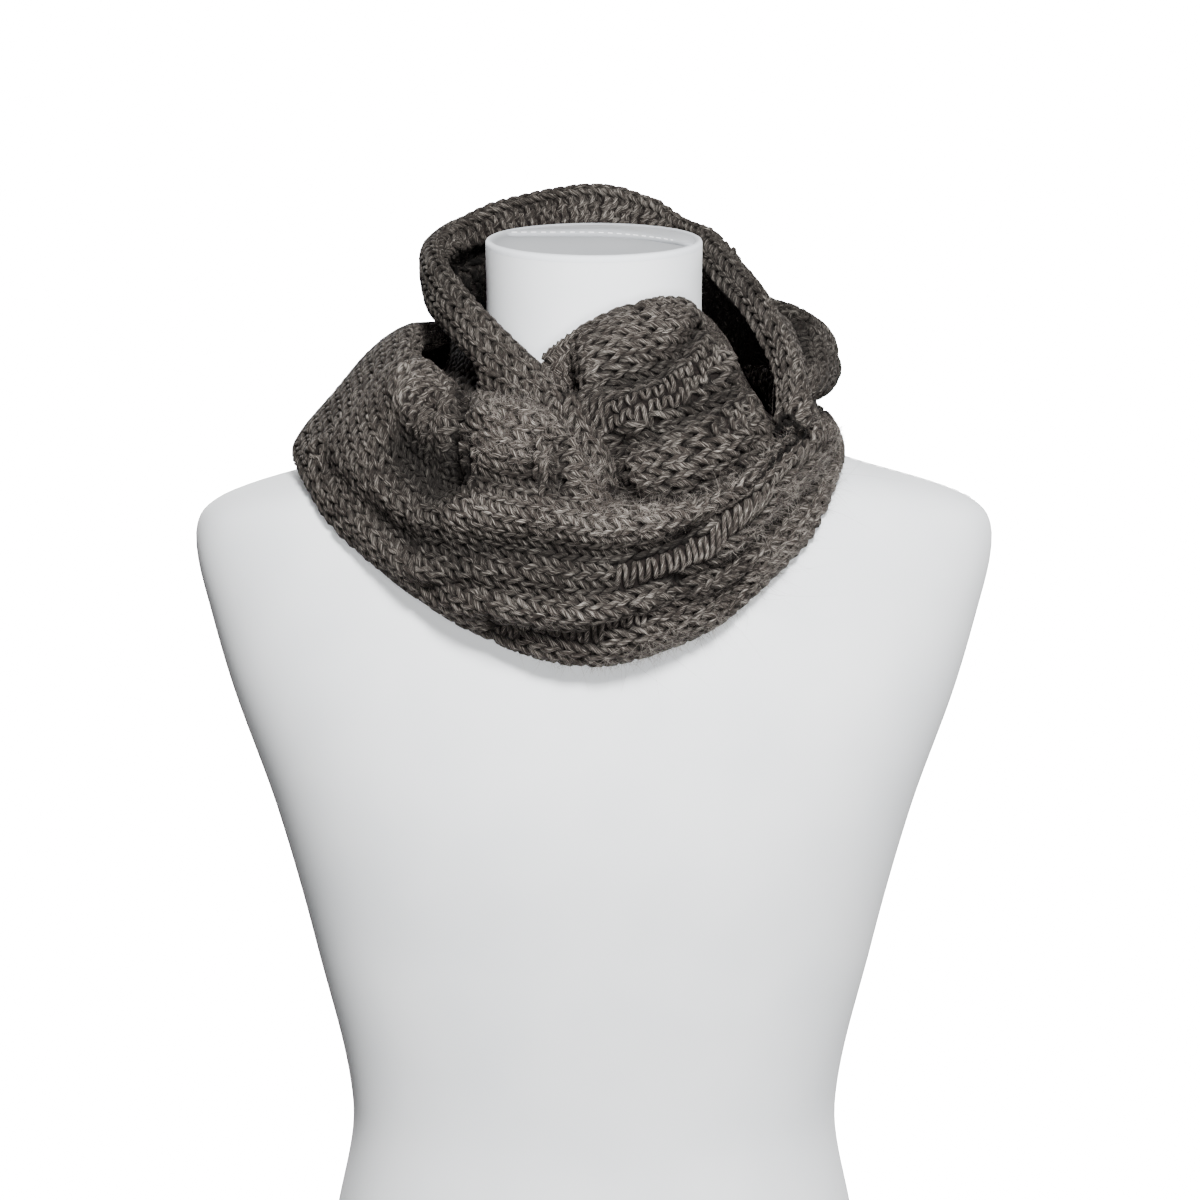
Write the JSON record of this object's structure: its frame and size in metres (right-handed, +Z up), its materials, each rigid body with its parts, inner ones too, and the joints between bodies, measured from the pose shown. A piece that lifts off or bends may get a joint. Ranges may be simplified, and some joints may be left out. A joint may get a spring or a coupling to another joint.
{
  "type": "infinity scarf on a dress form",
  "caption": "Chunky knitted infinity scarf wound twice round the neck of a limbless dress form with a flat base, the cloth a hollow draped wall.",
  "frame": {"origin": "on the form's flat base, under the middle of the neck", "axes": "+Z up along the form, -Y out of its chest, +X towards the scarf's loose shoulder fold, which is on the viewer's right"},
  "size_m": [0.459, 0.3088, 0.7328],
  "materials": {
    "knit": "fuzzy marled yarn, matt with a few pale shining fibres",
    "form_cover": "smooth stretched jersey"
  },
  "bodies": {
    "root": {"form_torso": "form_cover", "form_neck_cap": "form_cover", "scarf_drape": "knit", "scarf_collar": "knit", "scarf_shoulder_fold": "knit", "scarf_neck_wrap": "knit", "scarf_centre_roll": "knit"}
  },
  "joints": []
}
